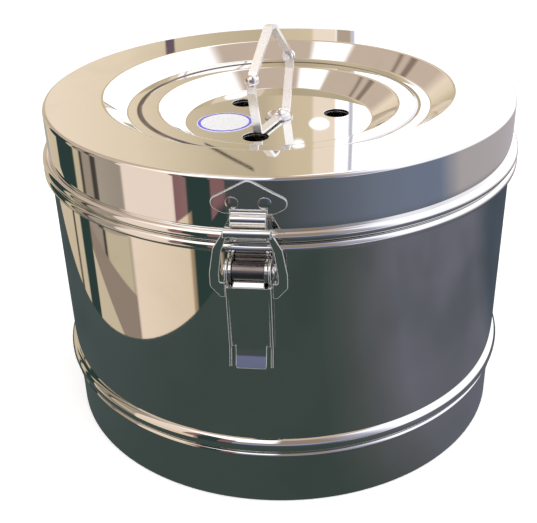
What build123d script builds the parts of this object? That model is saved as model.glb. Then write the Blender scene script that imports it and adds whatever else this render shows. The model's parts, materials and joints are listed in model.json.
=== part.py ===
from build123d import *
import math
import os

# Sterilization drum: a round stainless vessel with a hinged, stepped lid, a toggle latch,
# rotating vent shutters in the lid and the bottom, and a folding lifting bail.
# Millimetres, +Z up, the drum's axis on Z, the foot's edge at z = 0, the latch at -Y and the
# lid's hinge at +Y.

os.makedirs("parts", exist_ok=True)

# ---------------------------------------------------------------- driving dimensions
SHEET = 1.0                 # wall, lid and bottom sheet
R_WALL = 127.0              # outer radius of the body wall and the lid skirt
R_FOOT = 126.6              # outer radius of the foot ring
Z_FOOT_TOP = 33.4           # where the body wall stands on the foot ring
Z_BOTTOM = 36.0             # underside of the bottom sheet
Z_LEDGE = 152.5             # top of the body's upper bead, where the lid sits
Z_NECK = 167.0              # top of the neck that the lid slips over
R_NECK = 124.9              # outer radius of that neck
Z_SKIRT = 152.9             # lower edge of the lid
Z_LID = 183.2               # top of the lid's rim
R_RIM_IN = 95.4             # inner edge of the lid's flat rim
R_STEP_OUT = 83.0           # outer edge of the lid's middle step
R_STEP_IN = 66.0            # inner edge of the middle step
Z_STEP = 174.3              # height of the middle step
R_FLOOR = 52.0              # edge of the lid's floor
Z_FLOOR = 165.1             # top of the lid's floor
BEAD_OUT = 3.4              # how far the seam beads stand out

VENT_R = 7.0                # vent hole radius
VENT_PITCH = 32.7           # vent holes' distance from the axis
VENT_ANGLES = (14.0, 134.0, 254.0)
VENT_TRAVEL = 60.0          # turn from open to closed
SHUTTER_R = 46.5
STOP_R = 44.6               # stop stud's distance from the axis
STOP_STUD = 1.3             # stop stud's radius
STOP_ANGLE = 74.0
PIVOT_R = 3.0               # radius of the shutters' pivots
RUN = 0.06                  # radial clearance of every running fit

HANDLE_ANGLE = 72.0         # direction of the bail's pivot axis
HANDLE_ALONG = -12.4        # bracket's middle from the lid's axis, along the pivot axis
HANDLE_ACROSS = -1.8        # and across it
BRACKET_T = 1.3
BRACKET_W = 4.8
BRACKET_EYE = 3.2           # radius of the bracket's eyes
BRACKET_PAD = 6.2           # radius of the bracket's round pad under the bolt's head
BRACKET_BASE = 18.5         # half length of the bracket's base
BRACKET_HALF = 24.5         # half distance between the bracket's arms
Z_BAIL = 196.5              # height of the bail's pivot axis
Z_APEX = 218.3              # centre of the strap at the bail's apex
BAIL_T = 1.8
BAIL_W = 4.6
BAIL_EYE = 3.0              # radius of the bail's eyes
BAIL_HALF = 22.4            # half distance between the bail's eyes

LEVER_AXIS = (133.2, 141.3)     # (distance from the drum's axis, height)
LINK_AXIS = (131.9, 132.3)
LINK_BAR = (135.2, 160.7)       # centre of the link's rolled bar
LINK_BAR_R = 1.9
HINGE_AXIS = (135.6, 152.7)
RIVET = 1.3                 # shank radius of the small rivets

# ---------------------------------------------------------------- planes
FRONT = Plane(origin=(0, 0, 0), x_dir=(1, 0, 0), z_dir=(0, -1, 0))         # (x or radius, height)
LATCH_SIDE = Plane(origin=(0, 0, 0), x_dir=(0, -1, 0), z_dir=(-1, 0, 0))   # (reach to -Y, height)
HINGE_SIDE = Plane(origin=(0, 0, 0), x_dir=(0, 1, 0), z_dir=(1, 0, 0))     # (reach to +Y, height)


# ---------------------------------------------------------------- outline helpers
def corner_cut(a, p, b, radius):
    """Start, middle and end of the arc that rounds corner p between a and b."""
    p, a, b = Vector(*p), Vector(*a), Vector(*b)
    da, db = (a - p).normalized(), (b - p).normalized()
    half = math.acos(max(-1.0, min(1.0, da.dot(db)))) / 2
    reach = radius / math.tan(half)
    middle = p + (da + db).normalized() * (radius / math.sin(half) - radius)
    return p + da * reach, middle, p + db * reach


def outline(points):
    """Face in the XY plane from (x, y, corner radius) points, in order round the outline.

    A point written as ("arc", x, y) isn't a corner: the edge between its neighbours is the
    arc that passes through it.
    """
    corners = []
    for i, point in enumerate(points):
        if point[0] == "arc":
            continue
        x, y, radius = point
        before = points[i - 1]
        after = points[(i + 1) % len(points)]
        via = Vector(*before[1:]) if before[0] == "arc" else None
        if radius > 0:
            start, middle, end = corner_cut(before[:2], (x, y), after[:2], radius)
        else:
            start, middle, end = Vector(x, y), None, Vector(x, y)
        corners.append((via, start, middle, end))
    edges = []
    last = corners[-1][3]
    for via, start, middle, end in corners:
        if via is not None:
            edges.append(Edge.make_three_point_arc(last, via, start))
        elif (start - last).length > 1e-6:
            edges.append(Edge.make_line(last, start))
        if middle is not None:
            edges.append(Edge.make_three_point_arc(start, middle, end))
        last = end
    return Face(Wire(edges))


def strap(path, thickness):
    """Outline points of a bent sheet that follows a centre path of (x, y, bend radius)."""
    left, right = [], []
    half = thickness / 2
    for i, (x, y, radius) in enumerate(path):
        p = Vector(x, y)
        if i == 0 or i == len(path) - 1:
            q = Vector(*path[1][:2]) if i == 0 else Vector(*path[-2][:2])
            along = (q - p if i == 0 else p - q).normalized()
            side = Vector(-along.Y, along.X) * half
            left.append((x + side.X, y + side.Y, 0))
            right.append((x - side.X, y - side.Y, 0))
            continue
        before = (p - Vector(*path[i - 1][:2])).normalized()
        after = (Vector(*path[i + 1][:2]) - p).normalized()
        turn = before.X * after.Y - before.Y * after.X
        middle = Vector(-before.Y - after.Y, before.X + after.X).normalized()
        side = middle * (half / max(0.2, middle.dot(Vector(-before.Y, before.X))))
        inner, outer = max(radius - half, 0.05), radius + half
        left.append((x + side.X, y + side.Y, inner if turn > 0 else outer))
        right.append((x - side.X, y - side.Y, outer if turn > 0 else inner))
    return left + right[::-1]


def turned(points):
    """Solid of revolution about Z from (radius, height, corner radius) points."""
    return revolve(FRONT * outline(points), Axis.Z, 360)


def slab(plane, points, near, far):
    """Outline on a plane, extruded between two distances along the plane's normal."""
    face = Location(plane.z_dir * near) * (plane * outline(points))
    return extrude(face, far - near, dir=plane.z_dir)


def ring_of(angles, radius):
    """Points (x, y) at the given angles in degrees on a circle round the axis."""
    return [(radius * math.cos(math.radians(a)), radius * math.sin(math.radians(a))) for a in angles]


def disc(radius, low, high, x=0.0, y=0.0):
    """Upright cylinder between two heights."""
    return Pos(x, y, low) * Cylinder(
        radius, high - low, align=(Align.CENTER, Align.CENTER, Align.MIN)
    )


def block(x0, x1, y0, y1, z0, z1):
    """Box between two corners."""
    return Pos(x0, y0, z0) * Box(x1 - x0, y1 - y0, z1 - z0, align=(Align.MIN,) * 3)


def rod(radius, start, direction, length):
    """Cylinder from a point along a direction."""
    axis = Vector(*direction).normalized()
    helper = (0, 0, 1) if abs(axis.Z) < 0.9 else (1, 0, 0)
    plane = Plane(origin=start, x_dir=Vector(*helper).cross(axis), z_dir=axis)
    return plane * Cylinder(radius, length, align=(Align.CENTER, Align.CENTER, Align.MIN))


def dome(radius, height, start, direction):
    """Low round rivet head whose flat side stands on a point and faces along a direction."""
    axis = Vector(*direction).normalized()
    helper = (0, 0, 1) if abs(axis.Z) < 0.9 else (1, 0, 0)
    plane = Plane(origin=start, x_dir=Vector(*helper).cross(axis), z_dir=axis)
    edge = height * 0.25
    rise = height - edge
    ball = (radius**2 + rise**2) / (2 * rise)
    half = math.asin(radius / ball) / 2
    face = outline([
        (0, 0, 0), (radius, 0, 0), (radius, edge, 0),
        ("arc", ball * math.sin(half), height - ball * (1 - math.cos(half))), (0, height, 0),
    ])
    return plane * revolve(FRONT * face, Axis.Z, 360)


def rivet(x, z, out, base, inside, shank=RIVET, head=2.6, height=1.3, back=2.3):
    """Rivet across the wall at (x, z): out is -1 on the latch side and 1 on the hinge side.

    base is where the outer head sits and inside is the wall's inner face, both as distances
    from the axis along Y.
    """
    direction = (0, out, 0)
    shaft = rod(shank, (x, out * (inside - 0.9), z), direction, base - inside + 0.9)
    outer = dome(head, height, (x, out * base, z), direction)
    inner = rod(back, (x, out * (inside - 1.0), z), direction, 0.95)
    return shaft + outer + inner


def save(shape, name):
    shape.label = name
    export_step(shape, f"parts/{name}.step")


def group(shapes, name):
    """Separate equal pieces written as one node."""
    save(Compound(children=list(shapes)), name)


# ---------------------------------------------------------------- drum body
def body_shell():
    """Cylinder wall with a lower bead, an upper bead that carries the lid, and the neck."""
    inner = R_WALL - SHEET
    return turned([
        (inner, Z_FOOT_TOP, 0),
        (R_WALL, Z_FOOT_TOP, 0),
        ("arc", R_WALL + 2.9, Z_FOOT_TOP + 4.2),
        (R_WALL, Z_FOOT_TOP + 8.4, 0),
        (R_WALL, Z_LEDGE - 5.1, 0),
        ("arc", R_WALL + BEAD_OUT, Z_LEDGE - 2.55),
        (R_WALL, Z_LEDGE, 0),
        (R_NECK, Z_LEDGE, 0),
        (R_NECK, Z_NECK, 0.45),
        (R_NECK - SHEET, Z_NECK, 0.45),
        (R_NECK - SHEET, Z_LEDGE - 3.5, 2.0),
        (inner, Z_LEDGE - 6.5, 2.0),
    ])


def foot_ring():
    """Foot skirt with a small roll under the lower bead and a tongue that carries the bottom."""
    tongue = R_WALL - SHEET - 0.05
    return turned([
        (R_FOOT - SHEET, 0, 0.2),
        (R_FOOT, 0, 0.2),
        (R_FOOT, 29.2, 0),
        ("arc", R_FOOT + 1.9, 31.0),
        (R_FOOT, 32.9, 0),
        (R_FOOT, Z_FOOT_TOP, 0),
        (tongue, Z_FOOT_TOP, 0),
        (tongue, Z_BOTTOM, 0.2),
        (tongue - SHEET, Z_BOTTOM, 0.2),
        (tongue - SHEET, 31.0, 1.0),
        (R_FOOT - SHEET, 29.0, 1.0),
    ])


def vent_cutters(low, high):
    return [disc(VENT_R, low, high, x, y) for x, y in ring_of(VENT_ANGLES, VENT_PITCH)]


def bottom_pan():
    """Flat bottom sheet on the foot ring's tongue, with three vents and the pivot hole."""
    pan = disc(R_WALL - SHEET - 0.05, Z_BOTTOM, Z_BOTTOM + SHEET)
    for cutter in vent_cutters(Z_BOTTOM - 1, Z_BOTTOM + 2):
        pan -= cutter
    return pan - disc(PIVOT_R + RUN, Z_BOTTOM - 1, Z_BOTTOM + 2)


def shutter(low):
    """Vent shutter: three holes, a pivot hole and a notch in the rim for the stop stud."""
    plate = disc(SHUTTER_R, low, low + SHEET) - disc(PIVOT_R, low - 1, low + 2)
    for cutter in vent_cutters(low - 1, low + 2):
        plate -= cutter
    # The stud reaches from STOP_ANGLE back to STOP_ANGLE - VENT_TRAVEL as the shutter turns.
    margin = math.degrees((STOP_STUD + 0.25) / STOP_R)
    first, last = STOP_ANGLE - VENT_TRAVEL - margin, STOP_ANGLE + margin
    inner = STOP_R - STOP_STUD - 0.4
    outer = SHUTTER_R + 4
    middle = (first + last) / 2
    (ax, ay), (bx, by), (cx, cy) = ring_of([first, middle, last], inner)
    (dx, dy), (ex, ey), (fx, fy) = ring_of([first, middle, last], outer)
    notch = outline([
        (ax, ay, 0), (dx, dy, 0), ("arc", ex, ey), (fx, fy, 0), (cx, cy, 0), ("arc", bx, by),
    ])
    return plate - extrude(Location((0, 0, low - 1)) * notch, 3)


def lid_shell():
    """Stepped lid: flat rim, slope, middle step, slope, floor with three vents, rolled skirt."""
    t = SHEET
    outer_slope = math.atan2(Z_LID - Z_STEP, R_RIM_IN - R_STEP_OUT)
    inner_slope = math.atan2(Z_STEP - Z_FLOOR, R_STEP_IN - R_FLOOR)
    a, b = t * math.tan(outer_slope / 2), t * math.tan(inner_slope / 2)
    lid = turned([
        (0, Z_FLOOR, 0),
        (R_FLOOR, Z_FLOOR, 2.0),
        (R_STEP_IN, Z_STEP, 3.0),
        (R_STEP_OUT, Z_STEP, 2.0),
        (R_RIM_IN, Z_LID, 3.0),
        (R_WALL, Z_LID, 2.0),
        (R_WALL, Z_SKIRT + 5.3, 0),
        ("arc", R_WALL + BEAD_OUT, Z_SKIRT + 2.65),
        (R_WALL, Z_SKIRT, 0),
        (R_WALL - t, Z_SKIRT, 0.3),
        (R_WALL - t, Z_LID - t, 1.0),
        (R_RIM_IN + a, Z_LID - t, 2.0),
        (R_STEP_OUT + a, Z_STEP - t, 3.0),
        (R_STEP_IN + b, Z_STEP - t, 2.0),
        (R_FLOOR + b, Z_FLOOR - t, 3.0),
        (0, Z_FLOOR - t, 0),
    ])
    for cutter in vent_cutters(Z_FLOOR - 3, Z_FLOOR + 3):
        lid -= cutter
    return lid - disc(PIVOT_R + RUN, Z_FLOOR - 3, Z_FLOOR + 3)


def spring_washer(low, high):
    """Split lock washer."""
    ring = disc(5.6, low, high) - disc(PIVOT_R + 0.05, low - 1, high + 1)
    slit = Rot(0, 0, 35) * block(2.0, 8.0, -0.5, 0.5, low - 1, high + 1)
    return ring - slit


# ---------------------------------------------------------------- latch
KEEPER_RIVET_ANGLE = 3.2
KEEPER_RIVET_Z = 171.6
KEEPER_OUT = 128.15         # outer radius of the keeper plate
BASE_RIVETS = (107.0, 124.5)


def radial_rivet(angle, z, base, inside):
    """Keeper rivet set square to the curved wall, angle degrees from the latch's middle."""
    return Rot(0, 0, angle) * rivet(0, z, -1, base, inside, head=2.9, height=0.5, back=2.2)


def radial_bore(angle, z):
    """Cutter for the hole of a keeper rivet."""
    return Rot(0, 0, angle) * rod(RIVET, (0, -120, z), (0, -1, 0), 20)


def keeper():
    """Keeper plate wrapped on the lid's wall, and the tail that steps out and ends in a shelf."""
    shape = [
        (-11.5, 166.3, 2.5), (11.5, 166.3, 2.5), (20.7, 170.9, 3.4),
        (0, 182.6, 4.0), (-20.7, 170.9, 3.4),
    ]
    plate = slab(FRONT, shape, 118, 134)
    band = disc(KEEPER_OUT, 160, 185) - disc(R_WALL + 0.05, 159, 186)
    plate &= band
    path = [
        (127.65, 168.4, 0), (127.65, 166.3, 1.5), (131.3, 166.3, 1.5), (131.3, 156.6, 1.2),
        (133.0, 156.6, 0),
    ]
    hook = extrude(LATCH_SIDE * outline(strap(path, 1.1)), 8.0, both=True)
    body = plate + hook
    for side in (-1, 1):
        body -= radial_bore(side * KEEPER_RIVET_ANGLE, KEEPER_RIVET_Z)
    return body


def ear(centre, radius, back, near, far):
    """Round ear on the latch side between two x, with a straight root at distance back."""
    cx, cz = centre
    eye = rod(radius, (near, -cx, cz), (1, 0, 0), far - near)
    return eye + block(near, far, -cx, -back, cz - radius, cz + radius)


def latch_base():
    """Base plate on the drum's wall with the two ears that hold the lever's pivot."""
    right = [(9.4, 101.0, 3), (9.4, 131.0, 1), (8.6, 134.0, 1), (8.6, 147.2, 1)]
    shape = right + [(-x, z, radius) for x, z, radius in reversed(right)]
    body = slab(FRONT, shape, 127.1, 128.3)
    for near, far in ((-8.6, -7.4), (7.4, 8.6)):
        body += ear(LEVER_AXIS, 5.4, 127.1, near, far)
    body -= rod(1.6, (-12, -LEVER_AXIS[0], LEVER_AXIS[1]), (1, 0, 0), 24)
    for z in BASE_RIVETS:
        body -= rod(RIVET, (0, -120, z), (0, -1, 0), 20)
    return body


def latch_lever():
    """Channel lever: front plate with a bent lip, side flanges with round ears, flared tongue."""
    cx, cz = LEVER_AXIS
    flange_shape = [
        (129.8, 134.5, 1.5), (129.8, 98.6, 3.0), (132.0, 92.6, 1.5), (138.0, 92.4, 0.8),
        (135.8, 101.6, 4.0), (137.7, 135.4, 0.8), (134.5, 135.6, 0.5),
    ]
    plate_path = [(137.1, 135.2, 0), (135.2, 103.1, 0)]
    body = extrude(LATCH_SIDE * outline(strap(plate_path, 1.2)), 10.2, both=True)
    for near, far in ((-10.2, -9.0), (9.0, 10.2)):
        body += slab(LATCH_SIDE, flange_shape, near, far)
        body += rod(5.6, (near, -cx, cz), (1, 0, 0), far - near)
        body += block(near, far, -134.8, -130.6, 131.0, cz)
    lip_path = [(134.7, 136.9, 0), (137.0, 134.9, 1.6), (136.9, 133.0, 0)]
    body += extrude(LATCH_SIDE * outline(strap(lip_path, 1.2)), 7.0, both=True)
    tongue_path = [(135.35, 106.2, 0), (135.05, 101.6, 18.0), (138.35, 92.6, 0)]
    tongue = extrude(LATCH_SIDE * outline(strap(tongue_path, 1.2)), 7.2, both=True)
    trim = slab(FRONT, [(-7.2, 91.6, 3.0), (7.2, 91.6, 3.0), (7.2, 107.0, 0), (-7.2, 107.0, 0)], 128, 141)
    body += tongue & trim
    body -= rod(1.6 + RUN, (-12, -cx, cz), (1, 0, 0), 24)
    return body - rod(1.5, (-12, -LINK_AXIS[0], LINK_AXIS[1]), (1, 0, 0), 24)


def lever_pivot():
    """Pin through both pairs of ears with a flat round head at each end."""
    cx, cz = LEVER_AXIS
    pin = rod(1.6, (-12.0, -cx, cz), (1, 0, 0), 24.0)
    for side in (-1, 1):
        pin += dome(3.3, 2.1, (side * 10.45, -cx, cz), (side, 0, 0))
    return pin


def latch_roller():
    """Grooved spacer that turns on the pivot between the base's ears."""
    cx, cz = LEVER_AXIS
    tube = rod(4.1, (-7.2, -cx, cz), (1, 0, 0), 14.4)
    return tube - rod(1.6 + RUN, (-9, -cx, cz), (1, 0, 0), 18)


def link_pin(side):
    """Short rivet that carries one eye of the link on the lever's flange."""
    cx, cz = LINK_AXIS
    pin = rod(1.5, (side * 8.7, -cx, cz), (side, 0, 0), 3.4)
    pin += rod(2.3, (side * 8.3, -cx, cz), (side, 0, 0), 0.65)
    return pin + dome(2.2, 1.2, (side * 11.9, -cx, cz), (side, 0, 0))


def latch_link():
    """Sheet frame: rolled top bar, splayed legs, and eyes turned back to the link pins."""
    right = [
        (10.4, 161.4, 0.8), (15.3, 153.2, 3.0), (17.4, 141.0, 8.0), (17.4, 134.4, 2.0),
        (12.8, 129.0, 1.0), (10.6, 129.0, 0), (10.6, 136.4, 0), (12.95, 136.4, 0.8),
        (12.95, 141.0, 8.0), (11.4, 152.0, 3.0), (8.8, 159.2, 0.6),
    ]
    left = [(-x, z, radius) for x, z, radius in reversed(right)]
    body = slab(FRONT, right + left, 134.6, 135.8)
    bar_reach, bar_height = LINK_BAR
    body += rod(LINK_BAR_R, (-10.4, -bar_reach, bar_height), (1, 0, 0), 20.8)
    body -= rod(0.7, (-12, -bar_reach, bar_height), (1, 0, 0), 24)
    cx, cz = LINK_AXIS
    for near, far in ((-11.8, -10.6), (10.6, 11.8)):
        eye = rod(3.3, (near, -cx, cz), (1, 0, 0), far - near)
        eye += block(near, far, -135.2, -cx, cz - 3.3, cz + 3.3)
        body += eye
    return body - rod(1.5 + RUN, (-14, -cx, cz), (1, 0, 0), 28)


# ---------------------------------------------------------------- rear hinge
HINGE_HALF = 15.0
BODY_LEAF_RIVETS = [(x, z) for x in (-9.0, 9.0) for z in (121.5, 133.0)]
LID_LEAF_RIVETS = [(-9.0, 172.2), (9.0, 172.2)]


def hinge_leaf(path, shape, knuckles, notches, holes, bore):
    """Bent leaf on a side path, trimmed to its front outline, with knuckles and rivet holes."""
    leaf = extrude(HINGE_SIDE * outline(strap(path, 1.2)), HINGE_HALF, both=True)
    leaf &= extrude(Location((0, 110, 0)) * (FRONT * outline(shape)), 40, dir=(0, 1, 0))
    for x0, x1, z0, z1 in notches:
        leaf -= block(x0, x1, 130.6, 140, z0, z1)
    for x0, x1 in knuckles:
        leaf += rod(3.2, (x0, HINGE_AXIS[0], HINGE_AXIS[1]), (1, 0, 0), x1 - x0)
    leaf -= rod(bore, (-20, HINGE_AXIS[0], HINGE_AXIS[1]), (1, 0, 0), 40)
    for x, z in holes:
        leaf -= rod(RIVET, (x, 120, z), (0, 1, 0), 12)
    return leaf


def hinge_body_leaf():
    path = [(133.0, 152.7, 0), (133.0, 146.6, 3.0), (127.75, 140.4, 3.0), (127.75, 114.0, 0)]
    shape = [
        (-HINGE_HALF, 115.0, 5.0), (HINGE_HALF, 115.0, 5.0),
        (HINGE_HALF, 154.0, 0), (-HINGE_HALF, 154.0, 0),
    ]
    knuckles = [(-HINGE_HALF, -5.3), (5.3, HINGE_HALF)]
    notches = [(-5.3, 5.3, 148.6, 156)]
    return hinge_leaf(path, shape, knuckles, notches, BODY_LEAF_RIVETS, 1.5)


def hinge_lid_leaf():
    path = [(133.0, 152.7, 0), (133.0, 160.4, 3.0), (127.75, 165.6, 3.0), (127.75, 179.0, 0)]
    shape = [
        (-HINGE_HALF, 152.0, 0), (HINGE_HALF, 152.0, 0),
        (HINGE_HALF, 178.2, 5.0), (-HINGE_HALF, 178.2, 5.0),
    ]
    notches = [(-16, -5.0, 150, 156.9), (5.0, 16, 150, 156.9)]
    return hinge_leaf(path, shape, [(-5.0, 5.0)], notches, LID_LEAF_RIVETS, 1.5 + RUN)


def hinge_pin():
    y, z = HINGE_AXIS
    pin = rod(1.5, (-15.5, y, z), (1, 0, 0), 31)
    for side in (-1, 1):
        pin += dome(2.5, 1.3, (side * 15.05, y, z), (side, 0, 0))
    return pin


# ---------------------------------------------------------------- handle
TURN = Rot(0, 0, HANDLE_ANGLE) * Pos(HANDLE_ALONG, HANDLE_ACROSS, 0)


def bracket():
    """U bracket whose flared arms end in round eyes, with a round pad for the pivot bolt."""
    z = Z_FLOOR + 0.9 + BRACKET_T / 2
    half = [(BRACKET_BASE, z, 2.2), (BRACKET_HALF, 190.0, 3.0), (BRACKET_HALF, Z_BAIL, 0)]
    path = [(-x, y, r) for x, y, r in reversed(half)] + half
    body = extrude(FRONT * outline(strap(path, BRACKET_T)), BRACKET_W / 2, both=True)
    for side in (-1, 1):
        x = side * BRACKET_HALF - BRACKET_T / 2
        body += rod(BRACKET_EYE, (x, 0, Z_BAIL), (1, 0, 0), BRACKET_T)
    body -= rod(1.5, (-30, 0, Z_BAIL), (1, 0, 0), 60)
    body = TURN * body + disc(BRACKET_PAD, z - BRACKET_T / 2, z + BRACKET_T / 2)
    return body - disc(PIVOT_R, z - 3, z + 3)


def bail():
    """Pointed strap handle with an eye at each foot."""
    half = [(2.4, Z_APEX, 1.9), (BAIL_HALF, Z_BAIL + 2.7, 3.5), (BAIL_HALF, Z_BAIL, 0)]
    path = [(-x, y, r) for x, y, r in reversed(half)] + half
    body = extrude(FRONT * outline(strap(path, BAIL_T)), BAIL_W / 2, both=True)
    for side in (-1, 1):
        x = side * BAIL_HALF - BAIL_T / 2
        body += rod(BAIL_EYE, (x, 0, Z_BAIL), (1, 0, 0), BAIL_T)
    return body - rod(1.5 + RUN, (-30, 0, Z_BAIL), (1, 0, 0), 60)


def bail_rivet(side):
    """Rivet on which one eye of the bail turns, with its round head outside the bracket."""
    inner = BAIL_HALF - BAIL_T / 2
    pin = rod(1.5, (side * (inner - 0.5), 0, Z_BAIL), (side, 0, 0), 4.4)
    pin += rod(2.1, (side * (inner - 1.2), 0, Z_BAIL), (side, 0, 0), 0.95)
    return pin + dome(3.1, 2.2, (side * (BRACKET_HALF + BRACKET_T / 2), 0, Z_BAIL), (side, 0, 0))


def vent_bolt():
    """Pivot bolt with a low round head on the bracket."""
    top = Z_FLOOR + 0.9 + BRACKET_T
    shank = disc(PIVOT_R, 156.2, top)
    return shank + dome(4.3, 2.8, (0, 0, top), (0, 0, 1))


def vent_nut():
    """Hexagon nut with chamfered corners on the pivot bolt."""
    nut = extrude(Location((0, 0, 157.4)) * RegularPolygon(5.0, 6, major_radius=False), 4.0)
    nut &= disc(5.6, 157, 162)
    return nut - disc(PIVOT_R, 156, 163)


def bottom_pivot():
    """Round-headed pivot rivet of the bottom shutter."""
    shank = disc(PIVOT_R, 33.3, 37.0)
    upper = dome(5.0, 1.9, (0, 0, 37.0), (0, 0, 1))
    lower = dome(5.0, 1.7, (0, 0, 33.4), (0, 0, -1))
    return shank + upper + lower


def bottom_shutter():
    """Vent shutter under the bottom, with a finger tab that stands down from it."""
    plate = shutter(34.7)
    tab = slab(FRONT, [(18, 25.5, 4), (36, 25.5, 4), (36, 34.9, 0), (18, 34.9, 0)], -0.6, 0.6)
    return plate + Rot(0, 0, 194) * tab


def stop_stud(low, high):
    """Stud in the shutter's notch that limits its turn."""
    (x, y), = ring_of([STOP_ANGLE], STOP_R)
    return disc(STOP_STUD, low, high, x, y)


def label():
    """Round label on the lid's floor."""
    (x, y), = ring_of([199.4], 30.5)
    return disc(15.5, Z_FLOOR, Z_FLOOR + 0.25, x, y)


# ---------------------------------------------------------------- write the nodes
shell = body_shell()
for hole_z in BASE_RIVETS:
    shell -= rod(RIVET, (0, -120, hole_z), (0, -1, 0), 12)
for hole_x, hole_z in BODY_LEAF_RIVETS:
    shell -= rod(RIVET, (hole_x, 120, hole_z), (0, 1, 0), 12)
save(shell, "body_shell")
save(foot_ring(), "foot_ring")
save(bottom_pan(), "bottom_pan")
save(bottom_pivot(), "bottom_vent_pivot")
save(bottom_shutter(), "bottom_vent_shutter")
save(spring_washer(33.4, 34.7), "bottom_vent_washer")
save(stop_stud(33.9, 36.0), "bottom_vent_stop")

lid = lid_shell()
for side in (-1, 1):
    lid -= radial_bore(side * KEEPER_RIVET_ANGLE, KEEPER_RIVET_Z)
for hole_x, hole_z in LID_LEAF_RIVETS:
    lid -= rod(RIVET, (hole_x, 120, hole_z), (0, 1, 0), 12)
save(lid, "lid_shell")
save(stop_stud(162.0, 164.1), "lid_vent_stop")
save(label(), "lid_label")

save(keeper(), "latch_keeper")
group(
    [radial_rivet(s * KEEPER_RIVET_ANGLE, KEEPER_RIVET_Z, KEEPER_OUT, R_WALL - SHEET) for s in (-1, 1)],
    "latch_keeper_rivets",
)
save(latch_base(), "latch_base")
group(
    [rivet(0, z, -1, 128.3, R_WALL - SHEET, head=2.5, height=1.2) for z in BASE_RIVETS],
    "latch_base_rivets",
)
save(lever_pivot(), "latch_pivot_pin")
save(latch_roller(), "latch_roller")
save(latch_lever(), "latch_lever")
group([link_pin(s) for s in (-1, 1)], "latch_link_pins")
save(latch_link(), "latch_link")

save(hinge_body_leaf(), "hinge_body_leaf")
hinge_inside = R_WALL - SHEET - 0.6      # the wall curves back from the hinge's middle
group([rivet(x, z, 1, 128.35, hinge_inside) for x, z in BODY_LEAF_RIVETS], "hinge_body_rivets")
save(hinge_lid_leaf(), "hinge_lid_leaf")
group([rivet(x, z, 1, 128.35, hinge_inside) for x, z in LID_LEAF_RIVETS], "hinge_lid_rivets")
save(hinge_pin(), "hinge_pin")

save(bracket(), "handle_bracket")
save(TURN * bail(), "handle_bail")
group([TURN * bail_rivet(s) for s in (-1, 1)], "handle_rivets")
save(disc(8.0, Z_FLOOR + 0.1, Z_FLOOR + 0.9) - disc(PIVOT_R, 160, 170), "handle_washer")
save(vent_bolt(), "vent_bolt")
save(shutter(162.7), "vent_shutter")
save(spring_washer(161.4, 162.7), "vent_spring_washer")
save(vent_nut(), "vent_nut")
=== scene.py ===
"""Look of a round sterilization drum in mirror-polished stainless steel.

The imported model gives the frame. The turned sheets (body, foot, lid and bottom) are built here
as fine turned skins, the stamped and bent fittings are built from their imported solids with
eased edges, and every piece gets a steel or label finish of its own. Lengths are millimetres
until a mesh is made, and metres in the studio; +Z is up and the latch faces -Y.
"""
import json
import logging
import math
from dataclasses import dataclass, field
from enum import Enum

import bmesh
import bpy
from mathutils import Matrix, Vector
from mathutils.geometry import tessellate_polygon

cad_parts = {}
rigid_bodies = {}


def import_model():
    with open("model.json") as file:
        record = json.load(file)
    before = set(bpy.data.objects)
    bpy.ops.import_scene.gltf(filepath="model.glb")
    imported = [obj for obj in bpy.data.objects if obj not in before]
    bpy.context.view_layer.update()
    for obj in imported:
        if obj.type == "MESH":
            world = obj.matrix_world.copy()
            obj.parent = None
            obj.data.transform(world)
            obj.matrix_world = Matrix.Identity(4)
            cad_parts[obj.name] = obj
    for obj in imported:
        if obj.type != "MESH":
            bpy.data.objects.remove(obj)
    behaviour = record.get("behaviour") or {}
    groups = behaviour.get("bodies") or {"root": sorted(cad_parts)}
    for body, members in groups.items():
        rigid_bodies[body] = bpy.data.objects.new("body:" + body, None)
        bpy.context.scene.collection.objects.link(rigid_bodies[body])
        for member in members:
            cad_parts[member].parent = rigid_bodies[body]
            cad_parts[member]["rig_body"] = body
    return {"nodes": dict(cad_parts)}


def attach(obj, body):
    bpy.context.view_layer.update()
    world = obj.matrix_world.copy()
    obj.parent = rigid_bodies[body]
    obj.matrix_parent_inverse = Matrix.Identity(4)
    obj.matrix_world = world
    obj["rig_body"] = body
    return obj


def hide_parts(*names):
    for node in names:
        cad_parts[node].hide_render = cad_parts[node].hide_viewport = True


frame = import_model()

LOG = logging.getLogger("sterilization_drum")
MM = 0.001
CREASE = math.radians(28.0)     # turned outlines are sharp above this angle
Colour = tuple[float, float, float]
Flat = tuple[float, float]
Point = tuple[float, float, float]
Piece = tuple[str, str, "SteelFinish", float]   # CAD node, name, finish and edge radius


# ------------------------------------------------------------------ finishes
class Slot(Enum):
    """Material slots of the record."""

    POLISHED = "polished_steel"
    FITTING = "fitting_steel"
    SATIN = "satin_steel"
    LABEL = "label"


class Grain(Enum):
    """Direction in which a surface was polished."""

    ROUND = "round the drum's axis"
    UPRIGHT = "up and down"
    CROSS = "from side to side"
    EVEN = "in no one direction"


@dataclass(frozen=True)
class Place:
    """A piece's own coordinates in metres: whole, by axis, the level part and its length."""

    whole: bpy.types.NodeSocket
    x: bpy.types.NodeSocket
    y: bpy.types.NodeSocket
    z: bpy.types.NodeSocket
    flat: bpy.types.NodeSocket
    reach: bpy.types.NodeSocket


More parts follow.
